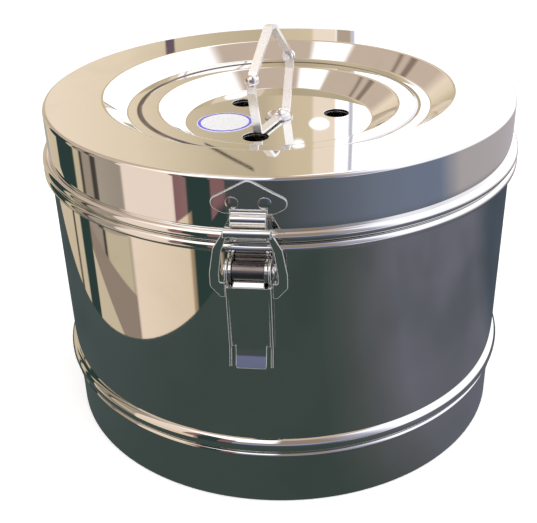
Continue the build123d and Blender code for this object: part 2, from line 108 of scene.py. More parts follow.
class Tree:
    """Shader nodes of a material or the world, added and linked in one call each."""

    def __init__(self, owner: bpy.types.Material | bpy.types.World) -> None:
        """Starts an empty node tree.

        Args:
            owner: New material or world that the nodes belong to.
        """
        self.owner = owner
        owner.use_nodes = True
        owner.node_tree.nodes.clear()

    @classmethod
    def of_material(cls, name: str) -> "Tree":
        """Starts the nodes of a new material of that name."""
        return cls(bpy.data.materials.new(name))

    def add(self, kind: str, inputs: dict | None = None, **settings: object) -> bpy.types.Node:
        """Adds a node.

        Args:
            kind: Node type without the ShaderNode prefix.
            inputs: Values or output sockets by input name or number.
            **settings: Attributes of the node.

        Returns:
            The node.
        """
        node = self.owner.node_tree.nodes.new("ShaderNode" + kind)
        for key, value in settings.items():
            setattr(node, key, value)
        for key, value in (inputs or {}).items():
            socket = node.inputs[key]
            if isinstance(value, bpy.types.NodeSocket):
                self.owner.node_tree.links.new(value, socket)
            else:
                socket.default_value = value
        return node

    def place(self) -> Place:
        """Adds the piece's own coordinates and splits them.

        Returns:
            Their sockets.
        """
        whole = self.add("TexCoord").outputs["Object"]
        x, y, z = self.add("SeparateXYZ", {0: whole}).outputs
        flat = self.add("CombineXYZ", {0: x, 1: y}).outputs[0]
        reach = self.add("VectorMath", {0: flat}, operation="LENGTH").outputs[1]
        return Place(whole, x, y, z, flat, reach)

    def noise(self, where: bpy.types.NodeSocket, scale: float, detail: float,
              **more: float) -> bpy.types.NodeSocket:
        """Adds noise at some coordinates and returns it, 0 to 1."""
        inputs = {"Vector": where, "Scale": scale, "Detail": detail, **more}
        return self.add("TexNoise", inputs).outputs[0]

    def bump(self, height: bpy.types.NodeSocket, depth: float,
             **more: object) -> bpy.types.NodeSocket:
        """Adds relief that is depth millimetres high where height is 1; returns the normal."""
        inputs = {"Strength": 1.0, "Distance": depth * MM, "Height": height, **more}
        return self.add("Bump", inputs).outputs[0]

    def maths(self, operation: str, *values: object) -> bpy.types.NodeSocket:
        """Adds a math node on numbers or sockets and returns its result."""
        return self.add("Math", dict(enumerate(values)), operation=operation).outputs[0]

    def span(self, value: object, low: float, high: float, to_low: float = 0.0,
             to_high: float = 1.0) -> bpy.types.NodeSocket:
        """Maps one range smoothly onto another.

        Args:
            value: Number or socket that is mapped.
            low: Start of the range it comes from.
            high: End of that range.
            to_low: Result at low and below.
            to_high: Result at high and above.

        Returns:
            The mapped value.
        """
        node = self.add("MapRange", {0: value, 1: low, 2: high, 3: to_low, 4: to_high},
                        interpolation_type="SMOOTHSTEP")
        return node.outputs[0]

    def below(self, value: object, limit: float, soft: float) -> bpy.types.NodeSocket:
        """One under a limit and nothing over it, changing within the width soft."""
        return self.span(value, limit - soft / 2, limit + soft / 2, 1.0, 0.0)

    def window(self, value: object, low: float, high: float, soft: float) -> bpy.types.NodeSocket:
        """One between two limits and nothing outside, changing within the width soft."""
        rise = self.span(value, low - soft / 2, low + soft / 2)
        return self.both(rise, self.below(value, high, soft))

    def both(self, a: bpy.types.NodeSocket, b: bpy.types.NodeSocket) -> bpy.types.NodeSocket:
        """Multiplies two shares."""
        return self.maths("MULTIPLY", a, b)

    def mix(self, factor: object, a: object, b: object) -> bpy.types.NodeSocket:
        """Mixes two colours.

        Args:
            factor: Share of the second colour.
            a: First colour, as three or four numbers or a socket.
            b: Second colour.

        Returns:
            The mixed colour.
        """
        node = self.add("Mix", {0: factor}, data_type="RGBA")
        for number, colour in ((6, a), (7, b)):
            if isinstance(colour, bpy.types.NodeSocket):
                self.owner.node_tree.links.new(colour, node.inputs[number])
            else:
                node.inputs[number].default_value = (*colour[:3], 1.0)
        return node.outputs[2]

    def ramp(self, value: object, low: float, high: float,
             marks: list[tuple[float, Colour]]) -> bpy.types.NodeSocket:
        """Adds a colour ramp.

        Args:
            value: What the colours follow.
            low: Value at the ramp's start.
            high: Value at its end.
            marks: Values with their colours, in order.

        Returns:
            The colour.
        """
        width = high - low
        share = self.maths("MULTIPLY_ADD", value, 1.0 / width, -low / width)
        node = self.add("ValToRGB", {0: share})
        elements = node.color_ramp.elements
        while len(elements) < len(marks):
            elements.new(1.0)
        for element, (mark, colour) in zip(elements, marks):
            element.position = (mark - low) / width
            element.color = (*colour, 1.0)
        return node.outputs[0]

    def sharply_seen(self) -> bpy.types.NodeSocket:
        """One for the camera's rays and those that mirrors and clear pieces send on.

        Returns:
            The share, 0 or 1.
        """
        path = self.add("LightPath").outputs
        onward = self.maths("MAXIMUM", path["Is Glossy Ray"], path["Is Transmission Ray"])
        return self.maths("MAXIMUM", path["Is Camera Ray"], onward)

    def finish(self, shader: bpy.types.Node) -> bpy.types.Material:
        """Connects a shader node as the surface and returns the material."""
        self.add("OutputMaterial", {"Surface": shader.outputs[0]})
        return self.owner

    def glow(self, colour: bpy.types.NodeSocket) -> bpy.types.Material:
        """Makes the surface shine in a colour and returns the material."""
        return self.finish(self.add("Emission", {0: colour, 1: 1.0}))


@dataclass(frozen=True)
class PaintedGrooveShade:
    """Painted shade: a dark ring painted into a groove turned round the axis, darker on the side of
    -X.
    """

    inner: float                # radii of the dark ring
    outer: float
    above: float                # height over which it lies, on the sheet's upper face only
    soft: float = 1.0           # width of each edge
    fade: float = 60.0          # distance along X in which it thins out
    colour: Colour = (0.09, 0.072, 0.10)

    def over(self, tree: Tree, place: Place, cloud: bpy.types.NodeSocket,
             tone: bpy.types.NodeSocket) -> bpy.types.NodeSocket:
        """Mixes the painted shade into a colour.

        Args:
            tree: The material's nodes.
            place: The piece's own coordinates.
            cloud: Noise that makes the painted shade uneven.
            tone: Colour of the clean sheet.

        Returns:
            The colour with the painted shade.
        """
        ring = tree.window(place.reach, self.inner * MM, self.outer * MM, self.soft * MM)
        upper = tree.span(place.z, (self.above - 0.1) * MM, (self.above + 0.1) * MM)
        thick = tree.span(cloud, 0.30, 0.55, 0.80, 0.97)
        thick = tree.both(thick, tree.span(place.x, 0.0, self.fade * MM, 1.0, 0.4))
        return tree.mix(tree.both(tree.both(ring, upper), thick), tone, self.colour)


@dataclass(frozen=True)
class Finish:
    """A material that is built when the first piece asks for it."""

    name: str
    slot: Slot

    def material(self) -> bpy.types.Material:
        """Builds the material, or returns the one built before."""
        return bpy.data.materials.get(self.name) or self._build(Tree.of_material(self.name))

    def _build(self, tree: Tree) -> bpy.types.Material:
        """Adds the nodes of the finish and returns the material."""
        raise NotImplementedError


@dataclass(frozen=True)
class SteelFinish(Finish):
    """Polished or satin stainless sheet.

    Polishing lines, faint smudges, hairline marks and the slow waves of pressed sheet all come
    from noise in the piece's own coordinates.
    """

    grain: Grain
    tint: Colour = (0.80, 0.79, 0.765)
    roughness: float = 0.05
    lines: float = 0.03         # how far the polishing lines change the roughness
    smudges: float = 0.05       # how far smudges raise the roughness
    line_depth: float = 0.0010  # height of the polishing lines
    wave_depth: float = 0.030   # height of the slow waves
    wave_length: float = 55.0
    metallic: float = 1.0       # less where a burr or fine scratches scatter the light
    # dark ring of painted shade in a groove, where one is given
    painted_groove_shade: PaintedGrooveShade | None = None

    def _along(self, tree: Tree, place: Place) -> bpy.types.NodeSocket:
        """Coordinates in which noise is stretched along the grain.

        Args:
            tree: The material's nodes.
            place: The piece's own coordinates.

        Returns:
            The stretched coordinates.
        """
        fine, coarse, medium, round_axis = 3600.0, 22.0, 420.0, 2.8
        if self.grain is Grain.ROUND:
            turn = tree.add("VectorMath", {0: place.flat}, operation="NORMALIZE").outputs[0]
            turned = tree.add("VectorMath", {0: turn, 3: round_axis}, operation="SCALE").outputs[0]
            across = tree.maths("MULTIPLY", tree.maths("SUBTRACT", place.z, place.reach), fine)
            lift = tree.add("CombineXYZ", {2: across}).outputs[0]
            return tree.add("VectorMath", {0: turned, 1: lift}, operation="ADD").outputs[0]
        stretch = {
            Grain.UPRIGHT: (fine, fine, coarse),
            Grain.CROSS: (coarse, fine, fine),
            Grain.EVEN: (medium, medium, medium),
        }[self.grain]
        return tree.add("Mapping", {0: place.whole, 3: stretch}).outputs[0]

    def _build(self, tree: Tree) -> bpy.types.Material:
        """Adds the nodes of the sheet.

        Args:
            tree: The material's empty tree.

        Returns:
            The material.
        """
        place = tree.place()
        lines = tree.noise(self._along(tree, place), 1.0, 3.0, Roughness=0.6)
        cloud = tree.noise(place.whole, 26.0, 4.0, Roughness=0.62, Distortion=0.6)
        specks = tree.noise(place.whole, 900.0, 2.0)
        smudge = tree.span(cloud, 0.47, 0.72)
        hairline = tree.span(lines, 0.69, 0.73)
        rough = tree.maths("MULTIPLY_ADD", lines, self.lines, self.roughness - self.lines / 2)
        rough = tree.maths("MULTIPLY_ADD", smudge, self.smudges, rough)
        rough = tree.maths("MULTIPLY_ADD", hairline, self.lines * 1.6, rough)
        rough = tree.maths("MULTIPLY_ADD", tree.span(specks, 0.62, 0.75), 0.02, rough)
        dull = tuple(channel * 0.93 for channel in self.tint)
        tone = tree.mix(tree.maths("MULTIPLY", smudge, 0.6), self.tint, dull)
        # paints the groove's shade into the sheet's colour
        if self.painted_groove_shade:
            tone = self.painted_groove_shade.over(tree, place, cloud, tone)
        waves = tree.noise(place.whole, 1.0 / (self.wave_length * MM), 1.0)
        rolling = tree.bump(waves, self.wave_depth)
        brushed = tree.bump(lines, self.line_depth, Normal=rolling)
        return tree.finish(tree.add("BsdfPrincipled", {
            "Base Color": tone, "Metallic": self.metallic, "Roughness": rough, "Normal": brushed,
        }))


@dataclass(frozen=True)
class LabelFinish(Finish):
    """White gloss film with a blue line round its edge."""

    name: str = "label_film"
    slot: Slot = Slot.LABEL
    centre: Flat = (-28.8, -10.1)
    radius: float = 15.5
    border: Flat = (0.860, 0.965)       # shares of the radius between which the line lies
    white: Colour = (0.90, 0.91, 0.94)
    pale: Colour = (0.80, 0.82, 0.88)
    blue: Colour = (0.055, 0.045, 0.74)

    def _build(self, tree: Tree) -> bpy.types.Material:
        """Adds the nodes of the film.

        Args:
            tree: The material's empty tree.

        Returns:
            The material.
        """
        place = tree.place()
        x = tree.maths("SUBTRACT", place.x, self.centre[0] * MM)
        y = tree.maths("SUBTRACT", place.y, self.centre[1] * MM)
        squares = tree.maths("ADD", tree.maths("MULTIPLY", x, x), tree.maths("MULTIPLY", y, y))
        share = tree.maths("DIVIDE", tree.maths("SQRT", squares), self.radius * MM)
        edge = tree.window(share, *self.border, 0.024)
        fibre = tree.noise(place.whole, 900.0, 3.0)
        ink = tree.mix(tree.maths("MULTIPLY", fibre, 0.08), self.blue, self.white)
        paper = tree.mix(tree.maths("MULTIPLY", fibre, 0.12), self.white, self.pale)
        return tree.finish(tree.add("BsdfPrincipled", {
            "Base Color": tree.mix(edge, paper, ink), "Normal": tree.bump(fibre, 0.02, Strength=0.4),
            "Roughness": tree.maths("MULTIPLY_ADD", fibre, 0.15, 0.22),
            "Coat Weight": 0.35, "Coat Roughness": 0.08,
        }))


# The lid's sheet has a dark ring of painted shade in the groove of its step.
SHELL = SteelFinish("polished_round", Slot.POLISHED, Grain.ROUND, roughness=0.018, lines=0.012,
                    smudges=0.025, line_depth=0.0005, painted_groove_shade=PaintedGrooveShade(75.0, 77.6, 173.6))
WALL = SteelFinish("polished_wall", Slot.POLISHED, Grain.ROUND, roughness=0.030, lines=0.020,
                   smudges=0.035, line_depth=0.0006, wave_depth=0.022, wave_length=70.0)
STAMPED = SteelFinish("polished_upright", Slot.POLISHED, Grain.UPRIGHT, roughness=0.055,
                      lines=0.04, wave_depth=0.004, wave_length=9.0)
BENT = SteelFinish("polished_strap", Slot.POLISHED, Grain.EVEN, tint=(0.93, 0.92, 0.92),
                   roughness=0.24, lines=0.08, line_depth=0.0015, wave_depth=0.006, wave_length=7.0,
                   metallic=0.62)
FITTING = SteelFinish("fitting_steel_even", Slot.FITTING, Grain.EVEN, tint=(0.74, 0.72, 0.70),
                      roughness=0.09, lines=0.06, smudges=0.08, line_depth=0.003,
                      wave_depth=0.004, wave_length=5.0)
PRESSED = SteelFinish("fitting_steel_cross", Slot.FITTING, Grain.CROSS, tint=(0.74, 0.73, 0.71),
                      roughness=0.10, lines=0.07, smudges=0.08, wave_depth=0.005, wave_length=9.0)
# Roller steel whose dark tint is painted shade, for the shade deep inside the latch.
SHADED_ROLLER_STEEL = SteelFinish("roller_steel_painted_shade", Slot.FITTING, Grain.CROSS, tint=(0.25, 0.215, 0.205),
                   roughness=0.26, lines=0.12, smudges=0.10, line_depth=0.003, wave_depth=0.004,
                   wave_length=5.0)
SATIN = SteelFinish("satin_round", Slot.SATIN, Grain.ROUND, tint=(0.70, 0.695, 0.68),
                    roughness=0.27, lines=0.14, smudges=0.08, line_depth=0.003,
                    wave_depth=0.03, wave_length=45.0)
EDGE = SteelFinish("cut_edge", Slot.POLISHED, Grain.EVEN, tint=(0.60, 0.61, 0.60),
                   roughness=0.50, lines=0.14, line_depth=0.004, wave_depth=0.0, metallic=0.45)
LABEL = LabelFinish()


# ------------------------------------------------------------------ outlines and skins
@dataclass(frozen=True)
class Corner:
    """Corner of an outline (distance, height), with the radius that rounds it.

    The edge to the next corner bows through the point in bow, if that is given.
    """

    reach: float
    height: float
    rounding: float = 0.0
    bow: Flat | None = None

    @property
    def flat(self) -> Vector:
        """The corner as a vector."""
        return Vector((self.reach, self.height))


def bead(wall: float, low: float, out: float, tall: float) -> list[Corner]:
    """Both end corners of a bead in an upright wall; it stands out by out and is tall high."""
    return [Corner(wall, low, bow=(wall + out, low + tall / 2)), Corner(wall, low + tall)]


def rounded(before: Vector, corner: Vector, after: Vector, radius: float) -> list[Vector]:
    """Samples the arc that rounds a corner.

    Args:
        before: Corner before it.
        corner: The corner itself.
        after: Corner after it.
        radius: Radius of the arc.

    Returns:
        Points from one tangent point to the other.
    """
    back, ahead = (before - corner).normalized(), (after - corner).normalized()
    half = math.acos(max(-1.0, min(1.0, back.dot(ahead)))) / 2
    reach = radius / math.tan(half)
    centre = corner + (back + ahead).normalized() * (radius / math.sin(half))
    start, end = corner + back * reach - centre, corner + ahead * reach - centre
    sweep = math.atan2(start.x * end.y - start.y * end.x, start.dot(end))
    steps = max(3, math.ceil(abs(sweep) / math.radians(8.0)))
    return [centre + Matrix.Rotation(sweep * i / steps, 2) @ start for i in range(steps + 1)]


def bowed(start: Vector, middle: Vector, end: Vector) -> list[Vector]:
    """Samples the arc through three points, without the first and the last.

    Args:
        start: First point.
        middle: Point that the arc passes through.
        end: Last point.

    Returns:
        Points between the two ends.
    """
    a, b = middle - start, end - start
    cross = 2 * (a.x * b.y - a.y * b.x)
    centre = start + Vector((b.y * a.length_squared - a.y * b.length_squared,
                             a.x * b.length_squared - b.x * a.length_squared)) / cross
    first, last = start - centre, end - centre
    sweep = math.atan2(first.x * last.y - first.y * last.x, first.dot(last))
    turn = math.copysign(1.0, a.x * (end - middle).y - a.y * (end - middle).x)
    if sweep * turn < 0:
        sweep += turn * 2 * math.pi
    steps = max(6, math.ceil(abs(sweep) / math.radians(7.0)))
    return [centre + Matrix.Rotation(sweep * i / steps, 2) @ first for i in range(1, steps)]


def trace(corners: list[Corner], closed: bool) -> list[Vector]:
    """Samples an outline.

    Args:
        corners: The outline's corners, in order.
        closed: Whether the last corner joins the first.

    Returns:
        Points along the outline.
    """
    points: list[Vector] = []
    count = len(corners)
    for i, corner in enumerate(corners):
        after = corners[(i + 1) % count]
        if corner.rounding:
            points += rounded(corners[i - 1].flat, corner.flat, after.flat, corner.rounding)
        else:
            points.append(corner.flat)
        if corner.bow and (closed or i < count - 1):
            points += bowed(corner.flat, Vector(corner.bow), after.flat)
    return points


def outline_normals(points: list[Vector], closed: bool) -> list[tuple[Vector, Vector]]:
    """Normals at both ends of each edge of an outline, smooth but for its creases.

    Args:
        points: The outline, with its inside on the left.
        closed: Whether the last point joins the first.

    Returns:
        For each edge, the normals at its start and its end.
    """
    count = len(points)
    edges = [points[(i + 1) % count] - points[i] for i in range(count if closed else count - 1)]
    sides = [Vector((e.y, -e.x)).normalized() for e in edges]

    def blended(i: int, j: int) -> Vector:
        """Normal of an edge where it meets the next or the last one.

        Args:
            i: Number of the edge.
            j: Number of the other edge, which may be past either end.

        Returns:
            The edge's own normal at a crease or an end, or else both edges' mean.
        """
        outside = not closed and (j < 0 or j >= len(edges))
        if outside or sides[i].angle(sides[j % len(edges)]) > CREASE:
            return sides[i]
        k = j % len(edges)
        return (sides[i] * edges[i].length + sides[k] * edges[k].length).normalized()

    return [(blended(i, i - 1), blended(i, i + 1)) for i in range(len(edges))]


def linked(name: str, data: bpy.types.ID) -> bpy.types.Object:
    """Makes an object and links it to the scene.

    Args:
        name: Name of the object.
        data: Its mesh, lamp or camera.

    Returns:
        The object.
    """
    made = bpy.data.objects.new(name, data)
    bpy.context.scene.collection.objects.link(made)
    return made


class Skin:
    """Mesh under construction: shared points, faces and the normal at each face corner."""

    def __init__(self) -> None:
        """Starts an empty skin."""
        self.points: list[Vector] = []
        self.faces: list[list[int]] = []
        self.normals: list[Vector] = []
        self._known: dict[tuple[int, int, int], int] = {}

    def point(self, place: Vector) -> int:
        """Adds a point, or finds the one that is there.

        Args:
            place: Place in millimetres.

        Returns:
            The point's number.
        """
        key = (round(place.x * 2000), round(place.y * 2000), round(place.z * 2000))
        if key not in self._known:
            self._known[key] = len(self.points)
            self.points.append(place * MM)
        return self._known[key]

    def face(self, corners: list[tuple[Vector, Vector]]) -> None:
        """Adds a face.

        Args:
            corners: Place and normal of each corner, counter-clockwise from outside.
        """
        numbered = [(self.point(place), normal) for place, normal in corners]
        kept = [pair for i, pair in enumerate(numbered) if pair[0] != numbered[i - 1][0]]
        if len(kept) > 2:
            self.faces.append([number for number, _ in kept])
            self.normals += [normal for _, normal in kept]

    def turn(self, points: list[Vector], closed: bool, segments: int,
             centre: Flat = (0.0, 0.0)) -> None:
        """Turns an outline round an upright axis.

        Args:
            points: Outline in (radius, height), with the material on its left.
            closed: Whether the outline is closed.
            segments: Number of steps round the axis.
            centre: Where the axis stands.
        """
        normals = outline_normals(points, closed)
        base = Vector((*centre, 0.0))
        count = len(points)
        spokes = [Vector((math.cos(a), math.sin(a), 0.0)) for a in
                  (2 * math.pi * k / segments for k in range(segments))]

        def lifted(flat: Vector, spoke: Vector) -> Vector:
            """Point or normal of the outline on one spoke."""
            return spoke * flat.x + Vector((0.0, 0.0, flat.y))

        for i, (first, last) in enumerate(normals):
            low, high = points[i], points[(i + 1) % count]
            for k, spoke in enumerate(spokes):
                following = spokes[(k + 1) % segments]
                self.face([
                    (base + lifted(low, spoke), lifted(first, spoke)),
                    (base + lifted(low, following), lifted(first, following)),
                    (base + lifted(high, following), lifted(last, following)),
                    (base + lifted(high, spoke), lifted(last, spoke)),
                ])

    def plate(self, rings: list[list[Vector]], height: float, up: bool) -> None:
        """Fills a level plate between an outer ring and its holes.

        Args:
            rings: The outer ring first, then the holes, as flat points.
            height: Height of the plate's face.
            up: Whether the face looks up.
        """
        places = [Vector((p.x, p.y, height)) for ring in rings for p in ring]
        normal = Vector((0.0, 0.0, 1.0 if up else -1.0))
        for a, b, c in tessellate_polygon([[Vector((p.x, p.y, 0.0)) for p in r] for r in rings]):
            pa, pb, pc = places[a], places[b], places[c]
            turn = (pb - pa).cross(pc - pa).z
            if abs(turn) < 1e-9:
                continue
            order = (pa, pb, pc) if (turn > 0) == up else (pa, pc, pb)
            self.face([(p, normal) for p in order])

    def build(self, name: str) -> bpy.types.Object:
        """Makes the object.

        Args:
            name: Name of the piece.

        Returns:
            The new object, linked to the scene.
        """
        mesh = bpy.data.meshes.new(name)
        mesh.from_pydata(self.points, [], self.faces)
        mesh.polygons.foreach_set("use_smooth", [True] * len(mesh.polygons))
        mesh.normals_split_custom_set(self.normals)
        mesh.update()
        return linked(name, mesh)


def circle(radius: float, segments: int, centre: Flat = (0.0, 0.0)) -> list[Vector]:
    """Flat points of a circle.

    Args:
        radius: Its radius.
        segments: Number of points.
        centre: Its centre.

    Returns:
        The points, counter-clockwise.
    """
    steps = (2 * math.pi * k / segments for k in range(segments))
    return [Vector((centre[0] + radius * math.cos(a), centre[1] + radius * math.sin(a)))
            for a in steps]


def dress(piece: bpy.types.Object, finish: Finish, node: str) -> None:
    """Gives a new piece its finish and its place in the frame.

    Args:
        piece: The new piece.
        finish: Its finish.
        node: CAD node that it stands for.
    """
    piece.data.materials.append(finish.material())
    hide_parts(node)
    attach(piece, frame["nodes"][node]["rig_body"])
    LOG.info("%s: %d faces, %s", piece.name, len(piece.data.polygons), finish.name)


# ------------------------------------------------------------------ turned sheets
@dataclass
class VentedFloor:
    """Level sheet with a pivot hole and three vents whose edges are eased."""

    vent_radius: float = 7.0
    vent_pitch: float = 32.7
    vent_angles: tuple[float, ...] = (14.0, 134.0, 254.0)
    pivot_radius: float = 3.06
    ease: float = 0.22
    sheet: float = 1.0
    hole_steps: int = 72

    def holes(self) -> list[tuple[float, Flat]]:
        """Places the vents and the pivot hole.

        Returns:
            Radius and centre of each hole.
        """
        turns = [math.radians(angle) for angle in self.vent_angles]
        vents = [(self.vent_radius, (self.vent_pitch * math.cos(a), self.vent_pitch * math.sin(a)))
                 for a in turns]
        return [*vents, (self.pivot_radius, (0.0, 0.0))]

    def fill(self, skin: Skin, edge: float, top: float, segments: int) -> None:
        """Adds both faces of the sheet and the walls of its holes.

        Args:
            skin: Mesh that they are added to.
            edge: Radius at which the floor meets the rest of its sheet.
            top: Height of its upper face.
            segments: Number of points round that edge.
        """
        low = top - self.sheet
        rings = [circle(edge, segments)]
        for radius, centre in self.holes():
            rings.append(circle(radius + self.ease, self.hole_steps, centre))
            lip = trace([
                Corner(radius + self.ease, top), Corner(radius, top, self.ease * 0.98),
                Corner(radius, low, self.ease * 0.98), Corner(radius + self.ease, low),
            ], closed=False)
            skin.turn(lip, False, self.hole_steps, centre)
        skin.plate(rings, top, up=True)
        skin.plate(rings, low, up=False)


@dataclass
class DrumBody:
    """Body wall with its beads and neck, the foot ring and the bottom with its shutter."""

    wall: float = 127.0
    sheet: float = 1.0
    ledge: float = 152.5
    neck_top: float = 167.0
    neck: float = 124.9
    foot: float = 126.6
    foot_top: float = 33.4
    bottom: float = 36.0
    lower_bead: Flat = (2.9, 8.4)       # how far each bead stands out and how tall it is
    upper_bead: Flat = (3.4, 5.1)
    shoulder: Flat = (3.5, 6.5)         # how far under the ledge the inner slope starts and ends
    roll: Point = (29.2, 31.0, 32.9)    # heights at which the foot's roll starts, bows and ends
    roll_out: float = 1.9               # how far it stands out
    seam: float = 0.05                  # play between the foot ring and the wall
    segments: int = 360
    floor: VentedFloor = field(default_factory=VentedFloor)

    def shell(self) -> None:
        """Builds the wall, its two beads and the neck that the lid slips over."""
        inner = self.wall - self.sheet
        corners = [
            Corner(inner, self.foot_top),
            *bead(self.wall, self.foot_top, *self.lower_bead),
            *bead(self.wall, self.ledge - self.upper_bead[1], *self.upper_bead),
            Corner(self.neck, self.ledge),
            Corner(self.neck, self.neck_top, 0.45),
            Corner(self.neck - self.sheet, self.neck_top, 0.45),
            Corner(self.neck - self.sheet, self.ledge - self.shoulder[0], 2.0),
            Corner(inner, self.ledge - self.shoulder[1], 2.0),
        ]
        skin = Skin()
        skin.turn(trace(corners, True), True, self.segments)
        dress(skin.build("drum_wall"), WALL, "body_shell")

    def foot_ring(self) -> None:
        """Builds the foot skirt with its small roll and the tongue that carries the bottom."""
        tongue = self.wall - self.sheet - self.seam
        low, crest, high = self.roll
        corners = [
            Corner(self.foot - self.sheet, 0.0, 0.2),
            Corner(self.foot, 0.0, 0.2),
            Corner(self.foot, low, bow=(self.foot + self.roll_out, crest)),
            Corner(self.foot, high),
            Corner(self.foot, self.foot_top),
            Corner(tongue, self.foot_top),
            Corner(tongue, self.bottom, 0.2),
            Corner(tongue - self.sheet, self.bottom, 0.2),
            Corner(tongue - self.sheet, crest, 1.0),
            Corner(self.foot - self.sheet, low - 0.2, 1.0),
        ]
        skin = Skin()
        skin.turn(trace(corners, True), True, self.segments)
        dress(skin.build("foot_skirt"), WALL, "foot_ring")

    def bottom_sheet(self) -> None:
        """Builds the vented bottom."""
        edge = self.wall - self.sheet - self.seam
        flat, top = edge - 0.5, self.bottom + self.sheet
        corners = [
            Corner(flat, self.bottom), Corner(edge, self.bottom, 0.2),
            Corner(edge, top, 0.2), Corner(flat, top),
        ]
        skin = Skin()
        skin.turn(trace(corners, False), False, self.segments)
        self.floor.fill(skin, flat, top, self.segments)
        dress(skin.build("bottom_sheet"), SATIN, "bottom_pan")

    def build(self) -> None:
        """Builds the whole body."""
        self.shell()
        self.foot_ring()
        self.bottom_sheet()
        Group((
            ("bottom_vent_shutter", "bottom_shutter", SATIN, 0.12),
            ("bottom_vent_pivot", "bottom_pivot_rivet", FITTING, 0.12),
            ("bottom_vent_washer", "bottom_lock_washer", FITTING, 0.12),
            ("bottom_vent_stop", "bottom_stop_stud", SATIN, 0.12),
        )).build()


@dataclass
class Lid:
    """Stepped lid with its vented floor, stop stud and label."""

    wall: float = 127.0
    sheet: float = 1.0
    skirt: float = 152.9
    top: float = 183.2
    rim_inner: float = 95.4
    step_outer: float = 83.0
    step_inner: float = 66.0
    step: float = 174.3
    groove: float = 76.3            # radius of the fine groove in the step
    groove_half: float = 1.6
    groove_depth: float = 0.38
    floor_edge: float = 52.0
    floor_top: float = 165.1
    flat_edge: float = 49.0
    roll: Flat = (3.4, 5.3)         # how far the lower roll stands out and how tall it is
    film: float = 0.25              # thickness of the label
    segments: int = 360
    floor: VentedFloor = field(default_factory=VentedFloor)

    def corners(self) -> list[Corner]:
        """Outline of the sheet.

        Returns:
            Its corners, from under the floor out to the skirt and back over the top.
        """
        t = self.sheet
        outer = math.atan2(self.top - self.step, self.rim_inner - self.step_outer)
        inner = math.atan2(self.step - self.floor_top, self.step_inner - self.floor_edge)
        a, b = t * math.tan(outer / 2), t * math.tan(inner / 2)
        return [
            Corner(self.flat_edge, self.floor_top - t),
            Corner(self.floor_edge + b, self.floor_top - t, 3.0),
            Corner(self.step_inner + b, self.step - t, 2.0),
            Corner(self.step_outer + a, self.step - t, 3.0),
            Corner(self.rim_inner + a, self.top - t, 2.0),
            Corner(self.wall - t, self.top - t, 1.0),
            Corner(self.wall - t, self.skirt, 0.3),
            *bead(self.wall, self.skirt, *self.roll),
            Corner(self.wall, self.top, 2.0),
            Corner(self.rim_inner, self.top, 3.0),
            Corner(self.step_outer, self.step, 2.0),
            Corner(self.groove + self.groove_half, self.step, 0.3),
            Corner(self.groove, self.step - self.groove_depth, 1.0),
            Corner(self.groove - self.groove_half, self.step, 0.3),
            Corner(self.step_inner, self.step, 3.0),
            Corner(self.floor_edge, self.floor_top, 2.0),
            Corner(self.flat_edge, self.floor_top),
        ]

    def shell(self) -> None:
        """Builds the pressed sheet."""
        skin = Skin()
        skin.turn(trace(self.corners(), False), False, self.segments)
        self.floor.fill(skin, self.flat_edge, self.floor_top, self.segments)
        dress(skin.build("lid_sheet"), SHELL, "lid_shell")

    def label(self) -> None:
        """Builds the round label as thin film with an eased edge."""
        skin = Skin()
        radius, low, high = LABEL.radius, self.floor_top, self.floor_top + self.film
        edge = trace([
            Corner(0.0, low), Corner(radius, low), Corner(radius, high, 0.15), Corner(0.0, high),
        ], closed=False)
        skin.turn(edge, False, 128, LABEL.centre)
        dress(skin.build("round_label"), LABEL, "lid_label")

    def build(self) -> None:
        """Builds the lid and what is fixed to it."""
        self.shell()
        self.label()
        Fitting("lid_vent_stop", "lid_stop_stud", SATIN, ease=0.12).build()


# ------------------------------------------------------------------ fittings
@dataclass
class Fitting:
    """Stamped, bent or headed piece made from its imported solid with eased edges."""

    node: str
    name: str
    finish: SteelFinish
    ease: float = 0.2
    steps: int = 3
    merge: float = 0.002            # points closer than this are joined
    level_within: float = 0.4       # angle in degrees up to which faces are one flat
    sharper_than: float = 38.0      # angle in degrees over which an edge is eased
    smooth_below: float = 32.0      # angle in degrees up to which the shading is smooth

    @property
    def edge(self) -> SteelFinish | None:
        """Finish of its cut edges, where they differ from its faces."""
        return EDGE if self.finish in (STAMPED, BENT) else None

    def eased_mesh(self) -> bpy.types.Mesh:
        """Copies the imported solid, joins its flats and eases its sharp edges.

        Returns:
            The new mesh.
        """
        shape = bmesh.new()
        shape.from_mesh(frame["nodes"][self.node].data)
        bmesh.ops.remove_doubles(shape, verts=shape.verts, dist=self.merge * MM)
        bmesh.ops.dissolve_limit(shape, angle_limit=math.radians(self.level_within),
                                 verts=shape.verts, edges=shape.edges)
        limit = math.radians(self.sharper_than)
        sharp = [e for e in shape.edges
                 if len(e.link_faces) == 2 and e.calc_face_angle(0.0) > limit]
        eased = bmesh.ops.bevel(shape, geom=sharp, offset=self.ease * MM, offset_type="OFFSET",
                                segments=self.steps, profile=0.5, affect="EDGES",
                                clamp_overlap=self.finish is not STAMPED)
        if self.edge:
            for face in eased["faces"]:
                face.material_index = 1
        bmesh.ops.remove_doubles(shape, verts=shape.verts, dist=self.merge / 4 * MM)
        bmesh.ops.recalc_face_normals(shape, faces=shape.faces)
        mesh = bpy.data.meshes.new(self.name)
        shape.to_mesh(mesh)
        shape.free()
        mesh.polygons.foreach_set("use_smooth", [True] * len(mesh.polygons))
        mesh.set_sharp_from_angle(angle=math.radians(self.smooth_below))
        return mesh

    def build(self) -> None:
        """Builds the piece and settles its normals by face area."""
        piece = linked(self.name, self.eased_mesh())
        weigh = piece.modifiers.new("even_flats", "WEIGHTED_NORMAL")
        weigh.keep_sharp = True
        weigh.weight = 80
        dress(piece, self.finish, self.node)
        if self.edge:
            piece.data.materials.append(self.edge.material())


@dataclass
class Group:
    """Fittings that are built one after the other."""

    pieces: tuple[Piece, ...] = ()

    def build(self) -> None:
        """Builds every piece of the group."""
        for piece in self.pieces:
            Fitting(*piece).build()


